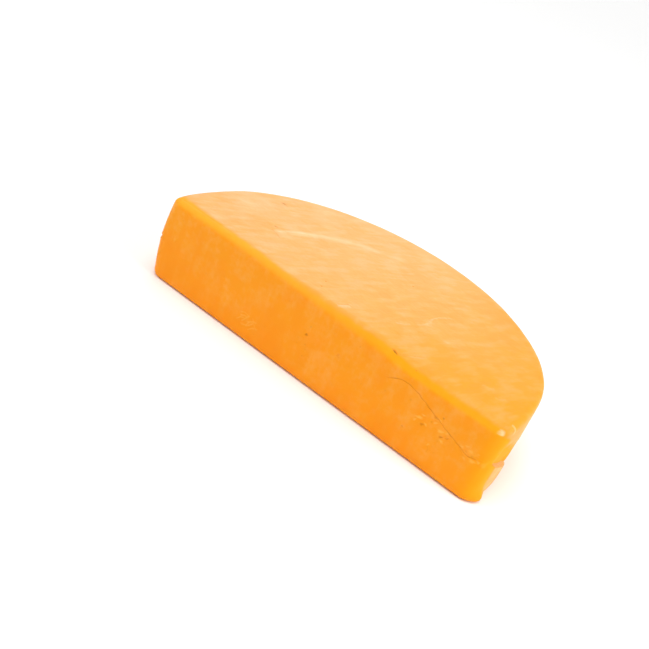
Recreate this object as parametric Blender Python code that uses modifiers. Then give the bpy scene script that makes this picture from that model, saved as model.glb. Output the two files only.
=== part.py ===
"""Half wheel of cheddar cheese, lying on its flat underside.

Metres, +Z up. X runs along the cut, and +Y from the cut to the round back.
The origin is on the floor, under the middle of the half wheel.
"""

import math

import bmesh
import bpy
from mathutils import Vector, noise

# Driving dimensions
WHEEL_RADIUS = 0.140
CENTRE_BEHIND_CUT = 0.027
HEIGHT = 0.060
CORNER_ROUND = 0.0075
RIM_ROUND = 0.0035
FOOT_ROUND = 0.003

# The rim above the cut is worn rounder towards the right
WORN_ROUND = 0.0095
WORN_FROM_X = -0.10
WORN_TO_X = 0.08

# The top sags along the right half of the cut
SAG_DEPTH = 0.0037
SAG_FROM_X = 0.030
SAG_TO_X = 0.072
SAG_REACH = 0.048
SAG_ABOVE = 0.046

# The wall bulges a little. Its right end is pressed in above the foot,
# and its left end above and below half height
WALL_BULGE = 0.0004
RIGHT_PRESS = 0.0016
LEFT_PRESS = 0.0024
END_FROM_X = 0.110
END_REACH = 0.085

# The foot of the right end: a small lip at the corner, and less of the press behind it
FOOT_LIP = 0.0022
LIP_MIDDLE = 0.0095
LIP_REACH = 0.008
LIP_TALL = 0.009
FOOT_PRESS = 0.65

# Every face but the foot is slightly uneven, by noise that a fixed seed draws
SWELL = 0.0005
SWELL_SIZE = 0.055
SWELL_SEED = 1796100439

# A crack runs across the cut face: where it passes, as x and height
CRACK_LINE = (
    (0.0556, 0.0397),
    (0.0672, 0.0465),
    (0.0832, 0.0423),
    (0.1037, 0.0354),
    (0.1213, 0.0286),
    (0.1300, 0.0300),
)
CRACK_WIDTH = 0.0011
CRACK_DEPTH = 0.0022

# It goes on round the right end, where the cheese above it has flaked off
LEDGE_START = 0.031
LEDGE_FALL = 0.45
LEDGE_REACH = 0.066
FLAKE_DEPTH = 0.0032
FLAKE_TALL = 0.026
FLAKE_CLEAR = 0.0005

# Small marks, as x, height or y, and size
CUT_PITS = (
    (-0.0038, 0.0329, 0.0015),
    (0.0222, 0.0340, 0.0018),
    (0.0892, 0.0285, 0.0017),
    (0.1032, 0.0287, 0.0019),
    (0.0782, 0.0195, 0.0012),
)
RIM_NICK = Vector((0.0529, 0.0037, 0.0566))
NICK_SIZE = Vector((0.0026, 0.0009, 0.0018))
END_NOTCH = Vector((-0.1360, 0.0030, 0.0290))
NOTCH_SIZE = Vector((0.0032, 0.0042, 0.0019))

# How finely the solid is divided
ARC_STEPS = 84
CORNER_STEPS = 6
CUT_STEPS = 26
ROUND_SEGMENTS = 4
TOP_CELL = 0.010
SIDE_LEVELS = 7
WORN_STEPS = 3
FLAKE_STEPS = 14
PIT_SUBDIVISIONS = 2

DEPTH = WHEEL_RADIUS + CENTRE_BEHIND_CUT
CUT_Y = -DEPTH / 2
WHEEL_CENTRE = Vector((0, CUT_Y + CENTRE_BEHIND_CUT))
FLAT = 0.999
SLICE_SNAP = 0.0009
CHEDDAR = (0.93, 0.33, 0.026, 1)


def clear_scene():
    """Remove every object of the open file."""
    for old in list(bpy.data.objects):
        bpy.data.objects.remove(old, do_unlink=True)


def smooth(low, high, value):
    """Rise gently from 0 at low to 1 at high."""
    t = min(max((value - low) / (high - low), 0), 1)
    return t * t * (3 - 2 * t)


def mix(a, b, share):
    """Go from a to b by a share."""
    return a + (b - a) * share


def arc_points(centre, radius, start, end, steps):
    """Points of an arc round a centre in plan, both ends included."""
    turns = [mix(start, end, i / steps) for i in range(steps + 1)]
    return [centre + radius * Vector((math.cos(a), math.sin(a))) for a in turns]


def plan_outline():
    """The half wheel seen from above, counter-clockwise: right corner, back, left corner, cut."""
    inner = WHEEL_RADIUS - CORNER_ROUND
    corner_x = math.sqrt(inner**2 - (CENTRE_BEHIND_CUT - CORNER_ROUND) ** 2)
    right = Vector((corner_x, CUT_Y + CORNER_ROUND))
    left = Vector((-corner_x, CUT_Y + CORNER_ROUND))
    turn = math.atan2(right.y - WHEEL_CENTRE.y, right.x)
    back = arc_points(WHEEL_CENTRE, WHEEL_RADIUS, turn, math.pi - turn, ARC_STEPS)
    right_corner = arc_points(right, CORNER_ROUND, -math.pi / 2, turn, CORNER_STEPS)
    left_corner = arc_points(left, CORNER_ROUND, math.pi - turn, 1.5 * math.pi, CORNER_STEPS)
    cut = [Vector((mix(-corner_x, corner_x, i / CUT_STEPS), CUT_Y)) for i in range(1, CUT_STEPS)]
    return right_corner + back[1:-1] + left_corner + cut


def mesh_object(name, bm, collection):
    """Store a bmesh as a named object in a collection."""
    mesh = bpy.data.meshes.new(name)
    bm.to_mesh(mesh)
    bm.free()
    made = bpy.data.objects.new(name, mesh)
    collection.objects.link(made)
    return made


def upright_slab(collection):
    """The plan outline extruded to the full height, its rims weighted for rounding."""
    bm = bmesh.new()
    foot = bm.faces.new([bm.verts.new((p.x, p.y, 0)) for p in reversed(plan_outline())])
    raised = bmesh.ops.extrude_face_region(bm, geom=[foot], use_keep_orig=True)["geom"]
    bmesh.ops.translate(
        bm, verts=[v for v in raised if isinstance(v, bmesh.types.BMVert)], vec=(0, 0, HEIGHT)
    )
    bmesh.ops.recalc_face_normals(bm, faces=bm.faces)
    weight = bm.edges.layers.float.new("bevel_weight_edge")
    for edge in bm.edges:
        low, high = sorted(v.co.z for v in edge.verts)
        if low > HEIGHT / 2:
            edge[weight] = 1
        elif high < HEIGHT / 2:
            edge[weight] = FOOT_ROUND / RIM_ROUND
    return mesh_object("cheddar_half_wheel", bm, collection)


def round_rims(cheese):
    """Round the upper and lower rims, then make the rounding part of the mesh."""
    bevel = cheese.modifiers.new("rounded rims", "BEVEL")
    bevel.limit_method = "WEIGHT"
    bevel.width = RIM_ROUND
    bevel.segments = ROUND_SEGMENTS
    rounded = cheese.evaluated_get(bpy.context.evaluated_depsgraph_get())
    cheese.data = bpy.data.meshes.new_from_object(rounded)
    cheese.modifiers.clear()


def slice_faces(bm, belongs, points, normal):
    """Divide the faces that belong by parallel planes through the given points."""
    tag = bm.faces.layers.int["sliced"]
    for face in bm.faces:
        face[tag] = belongs(face)
    for point in points:
        chosen = [f for f in bm.faces if f[tag]]
        edges = {e for f in chosen for e in f.edges}
        verts = {v for f in chosen for v in f.verts}
        bmesh.ops.bisect_plane(
            bm, geom=[*verts, *edges, *chosen], plane_co=point, plane_no=normal, dist=SLICE_SNAP
        )


def is_top(face):
    """Whether a face is part of the flat top."""
    return face.normal.z > FLAT


def is_upright(face):
    """Whether a face is part of the upright sides."""
    return abs(face.normal.z) < 1 - FLAT


def divide(bm):
    """Lay a grid over the top and levels round the sides, so that they can be shaped."""
    bm.faces.layers.int.new("sliced")
    across = int(WHEEL_RADIUS / TOP_CELL)
    columns = [Vector((i * TOP_CELL, 0, 0)) for i in range(-across, across + 1)]
    worn = [mix(RIM_ROUND, WORN_ROUND, i / WORN_STEPS) for i in range(1, WORN_STEPS + 1)]
    behind = worn + [WORN_ROUND + i * TOP_CELL for i in range(1, int(DEPTH / TOP_CELL))]
    low, high = FOOT_ROUND, HEIGHT - WORN_ROUND
    up = [mix(low, high, i / SIDE_LEVELS) for i in range(1, SIDE_LEVELS)]
    up += [HEIGHT - below for below in worn]
    slice_faces(bm, is_top, columns, Vector((1, 0, 0)))
    slice_faces(bm, is_top, [Vector((0, CUT_Y + y, 0)) for y in behind], Vector((0, 1, 0)))
    slice_faces(bm, is_upright, [Vector((0, 0, z)) for z in up], Vector((0, 0, 1)))


def worn(point):
    """The point moved onto the rounder rim above the cut, if it lies outside it."""
    radius = mix(RIM_ROUND, WORN_ROUND, smooth(WORN_FROM_X, WORN_TO_X, point.x))
    centre = Vector((CUT_Y + radius, HEIGHT - radius))
    away = point.yz - centre
    if away.x >= 0 or away.y <= 0 or away.length <= radius:
        return point.copy()
    y, z = centre + away.normalized() * radius
    return Vector((point.x, y, z))


def sag_at(point):
    """How far the top has sunk at a point."""
    behind_cut = point.y - CUT_Y
    along = smooth(SAG_FROM_X, SAG_TO_X, point.x)
    inwards = 1 - smooth(0, SAG_REACH, behind_cut)
    return SAG_DEPTH * along * inwards * smooth(SAG_ABOVE, HEIGHT, point.z)


def ledge_height(behind_cut):
    """Height of the crack on the right end, by the distance behind the cut."""
    return LEDGE_START - LEDGE_FALL * behind_cut


def wall_push(point):
    """How far the wall stands out: a bulge at half height, less the press on both ends."""
    share = point.z / HEIGHT
    behind_cut = point.y - CUT_Y
    off_foot = max(smooth(0, 0.25, share), FOOT_PRESS * smooth(0.008, 0.020, behind_cut))
    at_right = smooth(END_FROM_X, WHEEL_RADIUS, point.x) * off_foot
    at_left = smooth(END_FROM_X, WHEEL_RADIUS, -point.x) * abs(2 * share - 1) ** 1.4
    near_cut = 1 - smooth(END_REACH / 2, END_REACH, behind_cut)
    pressed = (RIGHT_PRESS * at_right + LEFT_PRESS * at_left) * near_cut
    from_lip = abs(behind_cut - LIP_MIDDLE)
    lip = FOOT_LIP * (1 - smooth(0, LIP_REACH, from_lip)) * (1 - smooth(0.002, LIP_TALL, point.z))
    return WALL_BULGE * math.sin(math.pi * share) - pressed + (lip if point.x > 0 else 0)


def shaped(point):
    """Where a point of the plain half wheel lies on the real, slightly uneven one."""
    off_foot = smooth(0.0005, 0.012, point.z)
    swell = noise.noise_vector(point / SWELL_SIZE) * SWELL * off_foot
    outwards = (point.xy - WHEEL_CENTRE) / WHEEL_RADIUS
    on_wall = smooth(0.92, 0.97, outwards.length)
    moved = worn(point) + swell
    moved.xy += outwards * wall_push(point) * on_wall
    moved.z -= sag_at(point)
    return moved


def shape(cheese):
    """Divide the slab and move its points to the uneven surface."""
    bm = bmesh.new()
    bm.from_mesh(cheese.data)
    divide(bm)
    noise.seed_set(SWELL_SEED)
    for vert in bm.verts:
        vert.co = shaped(vert.co)
    bmesh.ops.recalc_face_normals(bm, faces=bm.faces)
    bm.to_mesh(cheese.data)
    bm.free()
    cheese.data.shade_smooth()


def loft(name, sections, collection):
    """A closed body through sections that have the same number of points."""
    bm = bmesh.new()
    rings = [[bm.verts.new(p) for p in section] for section in sections]
    count = len(rings[0])
    for ring, following in zip(rings, rings[1:]):
        for i in range(count):
            j = (i + 1) % count
            bm.faces.new((ring[i], ring[j], following[j], following[i]))
    bm.faces.new(rings[0])
    bm.faces.new(rings[-1])
    bmesh.ops.recalc_face_normals(bm, faces=bm.faces)
    return mesh_object(name, bm, collection)


def crack_blade(collection):
    """A thin wedge along the crack, its sharp edge inside the cheese."""
    sections = []
    last = len(CRACK_LINE) - 1
    for i, (x, z) in enumerate(CRACK_LINE):
        before, after = CRACK_LINE[max(i - 1, 0)], CRACK_LINE[min(i + 1, last)]
        along = Vector((after[0] - before[0], 0, after[1] - before[1])).normalized()
        across = Vector((-along.z, 0, along.x))
        share = 0.4 if i in (0, last) else 1
        middle = Vector((x, CUT_Y, z))
        front = middle - Vector((0, CRACK_DEPTH, 0))
        half = across * CRACK_WIDTH * share
        root = middle + Vector((0, CRACK_DEPTH * share, 0))
        sections.append((front + half, front - half, root))
    return loft("crack_blade", sections, collection)


def flake_wedge(collection):
    """The flake that has come off the right end, deepest at the crack."""
    sections = []
    outside = 0.004
    radius = WHEEL_RADIUS - RIGHT_PRESS
    for i in range(FLAKE_STEPS + 1):
        behind = mix(0.0005, LEDGE_REACH, i / FLAKE_STEPS)
        y = CUT_Y + behind
        wall_x = math.sqrt(radius**2 - (y - WHEEL_CENTRE.y) ** 2)
        outwards = Vector((wall_x, y - WHEEL_CENTRE.y, 0)) / radius
        depth = FLAKE_DEPTH * smooth(0, 0.016, behind) * (1 - smooth(0.050, LEDGE_REACH, behind))
        foot = Vector((wall_x, y, ledge_height(behind)))
        head = foot + Vector((0, 0, FLAKE_TALL))
        sections.append(
            (
                foot - outwards * depth,
                foot + outwards * outside,
                head + outwards * outside,
                head + outwards * FLAKE_CLEAR,
            )
        )
    return loft("flake_wedge", sections, collection)


def mark(name, centre, size, turn, collection):
    """A small rounded cutter for a pit, nick or notch."""
    bm = bmesh.new()
    bmesh.ops.create_icosphere(bm, subdivisions=PIT_SUBDIVISIONS, radius=1)
    made = mesh_object(name, bm, collection)
    made.location = centre
    made.scale = size
    made.rotation_euler.y = turn
    return made


def small_marks(collection):
    """Cutters for the pits of the cut face, the nick in its rim and the notch in the left end."""
    for i, (x, z, size) in enumerate(CUT_PITS):
        mark(f"pit_{i + 1}", (x, CUT_Y, z), Vector((size, size * 0.7, size)), 0, collection)
    to_cut = Vector((0, CUT_Y, 0))
    mark("rim_nick", RIM_NICK + to_cut, NICK_SIZE, math.radians(17), collection)
    mark("end_notch", END_NOTCH + to_cut, NOTCH_SIZE, math.radians(20), collection)


def cut_away(cheese, cutters):
    """Take all the cutters out of the cheese."""
    bpy.context.view_layer.update()
    for cutter in cutters.objects:
        cutter.hide_render = True
        cutter.display_type = "WIRE"
    cut = cheese.modifiers.new("cracks and pits", "BOOLEAN")
    cut.operation = "DIFFERENCE"
    cut.operand_type = "COLLECTION"
    cut.collection = cutters
    cut.solver = "EXACT"


def cheese_material():
    """Orange cheddar with a soft, waxy shine."""
    material = bpy.data.materials.new("cheddar")
    material.use_nodes = True
    shader = material.node_tree.nodes["Principled BSDF"]
    shader.inputs["Base Color"].default_value = CHEDDAR
    shader.inputs["Roughness"].default_value = 0.42
    shader.inputs["Metallic"].default_value = 0
    shader.inputs["Subsurface Weight"].default_value = 0.6
    shader.inputs["Subsurface Radius"].default_value = (0.006, 0.0025, 0.0006)
    return material


def build():
    """Make the half wheel."""
    clear_scene()
    parts = bpy.data.collections.new("Cheddar half wheel")
    cutters = bpy.data.collections.new("Cutters")
    for collection in (parts, cutters):
        bpy.context.scene.collection.children.link(collection)
    cheese = upright_slab(parts)
    round_rims(cheese)
    shape(cheese)
    cheese.data.materials.append(cheese_material())
    crack_blade(cutters)
    flake_wedge(cutters)
    small_marks(cutters)
    cut_away(cheese, cutters)


build()
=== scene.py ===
"""Half wheel of orange cheddar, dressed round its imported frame.

Metres, +Z up. X runs along the cut and +Y from the cut to the round back. Where a
place on the cut face is given it is x and height, and on the top it is x and the
distance behind the cut, both in millimetres in the tables of marks.
"""

import logging
import math
from dataclasses import dataclass, field
from enum import Enum
from typing import Callable

import bpy
import numpy as np
from mathutils import Matrix, Vector, noise


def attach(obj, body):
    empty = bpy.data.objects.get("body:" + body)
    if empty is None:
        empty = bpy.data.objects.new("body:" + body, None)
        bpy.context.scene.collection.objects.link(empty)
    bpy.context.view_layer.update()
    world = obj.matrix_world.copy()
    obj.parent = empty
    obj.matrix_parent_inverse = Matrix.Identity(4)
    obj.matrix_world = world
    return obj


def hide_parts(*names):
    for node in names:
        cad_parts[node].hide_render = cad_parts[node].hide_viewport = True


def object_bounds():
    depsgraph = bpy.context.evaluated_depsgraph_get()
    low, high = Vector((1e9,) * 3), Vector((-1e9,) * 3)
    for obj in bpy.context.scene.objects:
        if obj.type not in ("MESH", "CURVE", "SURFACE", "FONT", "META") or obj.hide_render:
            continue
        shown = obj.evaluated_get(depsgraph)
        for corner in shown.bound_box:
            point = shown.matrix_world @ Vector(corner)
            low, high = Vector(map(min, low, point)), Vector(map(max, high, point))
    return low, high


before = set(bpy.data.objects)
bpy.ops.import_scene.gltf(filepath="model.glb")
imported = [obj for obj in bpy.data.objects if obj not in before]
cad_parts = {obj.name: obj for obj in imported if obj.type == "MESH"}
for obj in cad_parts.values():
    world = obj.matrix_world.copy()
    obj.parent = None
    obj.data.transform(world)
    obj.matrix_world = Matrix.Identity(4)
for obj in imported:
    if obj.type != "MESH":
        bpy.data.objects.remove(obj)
CAD_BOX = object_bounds()

LOG = logging.getLogger("cheddar")
NODE = "cheddar_half_wheel"
MM = 0.001

Array = np.ndarray
Place = tuple[float, float]
Colour = tuple[float, float, float]


def smooth(low: float | Array, high: float | Array, value: float | Array) -> Array:
    """Rise gently from 0 to 1.

    Args:
        low: Value at which the rise starts.
        high: Value at which it ends.
        value: What is looked up.

    Returns:
        The share of the rise, from 0 to 1.
    """
    t = np.clip((value - low) / (high - low), 0.0, 1.0)
    return t * t * (3.0 - 2.0 * t)


def mix(a: float | Array, b: float | Array, share: float | Array) -> float | Array:
    """Go from a to b by a share.

    Args:
        a: Value at share 0.
        b: Value at share 1.
        share: How far to go.

    Returns:
        The value in between.
    """
    return a + (b - a) * share


def ripple(points: Array, size: float, seed: float = 0.0) -> Array:
    """Smooth noise at each point.

    Args:
        points: Points, one row each.
        size: Size of the noise's lumps in metres.
        seed: Shifts the noise, so that each use has its own.

    Returns:
        A value from about -1 to 1 for each point.
    """
    shift = Vector((seed * 7.13, seed * 3.71, seed * 5.37))
    return np.array([noise.noise(Vector(p) / size + shift) for p in points])


class Side(Enum):
    """Face of the half wheel that a mark lies on."""

    CUT = "cut"
    TOP = "top"


@dataclass(frozen=True)
class Line:
    """A crack, crease or scratch along a path.

    A positive depth goes into the cheese and a negative one stands out of it.
    """

    side: Side
    path: tuple[Place, ...]
    half_width: float
    depth: float
    dark: float = 0.0
    pale: float = 0.0
    wander: float = 0.0

    def distance(self, u: Array, v: Array) -> tuple[Array, Array]:
        """How far each place is from the path.

        Args:
            u: First coordinate of each place.
            v: Second coordinate of each place.

        Returns:
            The distances, and the share of the path's length passed at the nearest point.
        """
        nodes = np.array(self.path) * MM
        steps = np.linalg.norm(np.diff(nodes, axis=0), axis=1)
        passed = np.concatenate([[0.0], np.cumsum(steps)])
        best = np.full(len(u), 9.0)
        along = np.zeros(len(u))
        for i, step in enumerate(steps):
            a, b = nodes[i], nodes[i + 1]
            t = ((u - a[0]) * (b[0] - a[0]) + (v - a[1]) * (b[1] - a[1])) / step**2
            t = np.clip(t, 0.0, 1.0)
            away = np.hypot(u - mix(a[0], b[0], t), v - mix(a[1], b[1], t))
            nearer = away < best
            best[nearer] = away[nearer]
            along[nearer] = (passed[i] + t[nearer] * step) / passed[-1]
        return best, along

    def strength(self, u: Array, v: Array, width: float) -> Array:
        """How strongly the line marks each place, fading at its ends.

        Args:
            u: First coordinate of each place.
            v: Second coordinate of each place.
            width: Half width of the mark.

        Returns:
            A value from 0 to 1 for each place.
        """
        away, along = self.distance(u, v)
        fade = smooth(0.0, 0.08, along) * (1.0 - smooth(0.88, 1.0, along))
        uneven = 0.75 + 0.25 * np.sin(along * 41.0 + self.path[0][0]) * np.sin(along * 17.0)
        return np.clip(1.0 - away / width, 0.0, 1.0) * fade * uneven


@dataclass(frozen=True)
class Spot:
    """A pit, pore, chip or flake round one place.

    A positive depth goes into the cheese and a negative one stands out of it.
    """

    side: Side
    place: Place
    radius: float
    depth: float
    stretch: float = 1.0
    turn: float = 0.0
    dark: float = 0.0
    pale: float = 0.0
    lift: float = 0.0
    soft: float = 0.55

    def polar(self, u: Array, v: Array) -> tuple[Array, Array]:
        """Distance of each place in radii, and how far it lies along the spot.

        Args:
            u: First coordinate of each place.
            v: Second coordinate of each place.

        Returns:
            The distances, 1 on the spot's rim, and the places along the stretch.
        """
        du, dv = u - self.place[0] * MM, v - self.place[1] * MM
        c, s = math.cos(math.radians(self.turn)), math.sin(math.radians(self.turn))
        long = (du * c + dv * s) / (self.radius * self.stretch)
        wide = (dv * c - du * s) / self.radius
        turn = np.arctan2(wide, long)
        ragged = 1.0 + 0.16 * np.sin(3 * turn + self.place[0]) + 0.10 * np.sin(5 * turn + self.place[1])
        return np.hypot(long, wide) / ragged, long


@dataclass
class Marks:
    """All the lines and spots, which share one way of acting on the surface."""

    cut_y: float
    height: float
    lines: tuple[Line, ...] = ()
    spots: tuple[Spot, ...] = ()

    def local(self, points: Array, side: Side) -> tuple[Array, Array, Array]:
        """Place of each point on a face, and whether it belongs to that face.

        Args:
            points: Points before any wear.
            side: The face.

        Returns:
            The two coordinates on the face, and a gate that is 1 on it and 0 off it.
        """
        behind = points[:, 1] - self.cut_y
        below = self.height - points[:, 2]
        if side is Side.CUT:
            return points[:, 0], points[:, 2], 1.0 - smooth(5 * MM, 8 * MM, behind)
        return points[:, 0], behind, 1.0 - smooth(5 * MM, 8 * MM, below)

    def reach(self, points: Array, widest: float) -> Array:
        """How far each point is from the rim of the nearest narrow mark.

        Args:
            points: Points before any wear.
            widest: Marks wider than this are left out.

        Returns:
            The distances, large where no mark is near.
        """
        best = np.full(len(points), 1.0)
        for side in Side:
            u, v, gate = self.local(points, side)
            for line in (k for k in self.lines if k.side is side and k.half_width < widest):
                away = line.distance(u, v)[0] - line.half_width
                best = np.where(gate > 0, np.minimum(best, away), best)
            for spot in (k for k in self.spots if k.side is side and k.radius < widest):
                away = (spot.polar(u, v)[0] - 1.0) * spot.radius
                best = np.where(gate > 0, np.minimum(best, away), best)
        return best

    def act(self, points: Array) -> tuple[Array, Array, Array]:
        """What the marks do to each point.

        Args:
            points: Points before any wear.

        Returns:
            The moves, one row each, and how dark and how pale each point is painted: stains and painted
            shade in cracks, grooves and pits; bloom, paler crumbs and painted highlights on raised marks.
        """
        moves = np.zeros_like(points)
        dark, pale = np.zeros(len(points)), np.zeros(len(points))
        inwards = {Side.CUT: np.array([0.0, 1.0, 0.0]), Side.TOP: np.array([0.0, 0.0, -1.0])}
        waver = ripple(points, 5 * MM, 3.0) + 0.5 * ripple(points, 2 * MM, 4.0)
        for line in self.lines:
            u, v, gate = self.local(points, line.side)
            u, v = u + waver * line.wander, v + waver * line.wander
            sink = line.strength(u, v, line.half_width)
            stain_and_shade = line.strength(u, v, line.half_width * 1.25) * gate
            if line.depth < 0:
                sink = sink * sink * (3 - 2 * sink)
            moves += (sink * gate * line.depth)[:, None] * inwards[line.side]
            dark = np.maximum(dark, stain_and_shade * line.dark)
            pale = np.maximum(pale, stain_and_shade**0.7 * line.pale)
        for spot in self.spots:
            u, v, gate = self.local(points, spot.side)
            away, along = spot.polar(u, v)
            bowl = np.clip(1.0 - away**2, 0.0, 1.0) ** 1.3
            brim = np.exp(-(((away - 1.15) / 0.22) ** 2)) * spot.lift
            if spot.depth < 0:
                bowl = (1.0 - smooth(0.6, 1.0, away)) * (0.65 + 0.35 * np.clip(along, -1, 1))
            moves += ((bowl * spot.depth - brim) * gate)[:, None] * inwards[spot.side]
            inside = 1.0 - smooth(spot.soft, 1.15, away)
            dark = np.maximum(dark, inside * gate * spot.dark)
            pale = np.maximum(pale, inside * gate * spot.pale)
        return moves, dark, pale


CUT, TOP = Side

CRACK = (
    (54.0, 40.4), (57.4, 41.5), (61.5, 43.6), (66.8, 46.4), (71.5, 46.3),
    (77.0, 44.8), (82.9, 42.8), (94.4, 38.9), (106.9, 34.2), (115.0, 31.0),
    (121.6, 28.6), (126.0, 29.4), (131.0, 30.4), (137.0, 31.0),
)

RUBBED = (
    ((-52.0, 12.0), (-49.0, 16.5), (-46.5, 19.8)),
    ((-54.5, 15.5), (-51.0, 17.0), (-48.0, 17.5)),
    ((-48.5, 10.5), (-45.0, 13.0), (-42.5, 16.5)),
    ((-47.5, 14.0), (-43.0, 17.2), (-40.0, 17.6)),
)
RUBBED_FAINTLY = (
    (0.45, ((-56.0, 11.5), (-53.5, 14.5), (-50.0, 15.8))),
    (0.45, ((-51.5, 10.0), (-47.5, 11.6), (-45.6, 15.4))),
    (0.40, ((-55.0, 17.8), (-51.5, 19.2), (-46.0, 18.8))),
    (0.40, ((-45.5, 9.0), (-42.0, 12.6), (-37.5, 14.2))),
    (0.35, ((-44.5, 19.4), (-42.0, 15.6), (-38.5, 12.6))),
)

# Dark in the crack and in the grooves and scratches is painted shade in them.
LINES = (
    Line(CUT, CRACK, 0.40 * MM, 0.60 * MM, dark=0.24, wander=0.50 * MM),
    Line(CUT, ((55.5, 42.6), (59.0, 43.6), (62.5, 45.6)), 0.5 * MM, 0.12 * MM, dark=0.06,
         wander=0.4 * MM),
    Line(CUT, ((113.0, 32.6), (117.0, 29.0), (122.5, 26.2)), 0.4 * MM, 0.3 * MM, dark=0.10),
    Line(CUT, ((121.0, 31.6), (124.0, 30.6), (127.5, 32.4), (129.5, 31.6)), 0.6 * MM, -0.3 * MM,
         pale=0.22, wander=0.5 * MM),
    *(Line(CUT, path, 0.6 * MM, -0.15 * MM, pale=0.50, wander=0.5 * MM) for path in RUBBED),
    *(
        Line(CUT, path, 0.5 * MM, -0.12 * MM, pale=pale, wander=0.4 * MM)
        for pale, path in RUBBED_FAINTLY
    ),
    Line(CUT, ((98.0, 18.6), (99.8, 17.0), (99.6, 14.0)), 0.5 * MM, 0.3 * MM, dark=0.14),
    # The raised creases of the top below are painted pale along them: painted highlight, the gloss on the
    # creases.
    Line(TOP, ((-76.5, 41.0), (-72.0, 53.5), (-67.0, 64.5), (-58.6, 77.5), (-49.3, 91.0),
               (-38.3, 103.5), (-26.0, 112.0)),
         3.4 * MM, -0.12 * MM, pale=0.44, wander=0.8 * MM),
    Line(TOP, ((-76.0, 43.5), (-70.5, 57.0), (-64.0, 69.5), (-57.0, 80.0)),
         1.1 * MM, -0.20 * MM, pale=0.30, wander=0.4 * MM),
    Line(TOP, ((44.8, 43.5), (48.6, 51.5), (48.6, 57.5), (47.3, 63.5), (48.0, 70.5), (55.0, 84.0)),
         1.0 * MM, -0.20 * MM, pale=0.25, wander=0.9 * MM),
    Line(TOP, ((36.5, 30.5), (40.5, 36.0), (43.0, 41.0)), 0.9 * MM, -0.12 * MM, pale=0.20,
         wander=0.6 * MM),
    Line(TOP, ((-58.0, 84.5), (-50.0, 97.0), (-41.0, 108.0)), 2.6 * MM, 0.0, pale=0.18,
         wander=1.2 * MM),
    Line(TOP, ((-80.2, 44.0), (-73.6, 42.0), (-68.2, 38.9)), 0.9 * MM, 0.1 * MM, dark=0.34),
    Line(TOP, ((55.4, 3.4), (61.1, 9.5), (67.6, 17.8)), 0.8 * MM, 0.35 * MM, dark=0.09,
         wander=0.3 * MM),
    Line(TOP, ((4.6, 7.0), (6.0, 10.5), (8.2, 15.6)), 0.8 * MM, 0.3 * MM, dark=0.14),
    Line(TOP, ((5.5, 5.5), (8.0, 10.0), (10.5, 14.5)), 1.3 * MM, -0.2 * MM, pale=0.34),
    # Painted shade: a thin dark line along the upper edge of the rim band, under its slightly raised edge.
    Line(TOP, ((-134.0, 6.2), (-118.0, 6.6), (-100.0, 6.6), (-84.0, 7.0)), 1.5 * MM, 0.22 * MM,
         dark=0.05),
    Line(TOP, ((135.4, 10.4), (137.6, 10.9), (139.4, 11.2)), 0.9 * MM, -0.25 * MM, pale=0.55),
    Line(TOP, ((104.0, 28.0), (109.0, 28.5), (112.0, 32.0)), 1.3 * MM, -0.15 * MM, pale=0.12,
         wander=0.8 * MM),
    Line(TOP, ((115.0, 24.0), (119.0, 25.5), (121.0, 29.0)), 1.2 * MM, -0.15 * MM, pale=0.12,
         wander=0.8 * MM),
)


def pits(side: Side, *rows: tuple[float, ...]) -> tuple[Spot, ...]:
    """Small round pits, darkened inside as painted shade.

    Args:
        side: The face that they are in.
        rows: Place, radius and depth in millimetres, and darkness of each.

    Returns:
        The pits.
    """
    return tuple(Spot(side, (u, v), r * MM, d * MM, dark=dark) for u, v, r, d, dark in rows)


def crumbs(*rows: tuple[float, ...]) -> tuple[Spot, ...]:
    """Crumbs that cling to the cut face, painted paler: partly their own colour and partly painted
    highlight.

    Args:
        rows: Place, radius and depth in millimetres, stretch, turn and paleness of each.

    Returns:
        The crumbs.
    """
    return tuple(
        Spot(CUT, (u, v), r * MM, d * MM, stretch, turn, pale=pale, soft=0.2)
        for u, v, r, d, stretch, turn, pale in rows
    )


# Dark inside pits, holes and notches is painted shade; the two dark specks on the top at -103.9 and -81.2
# are the cheese's own.
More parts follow.
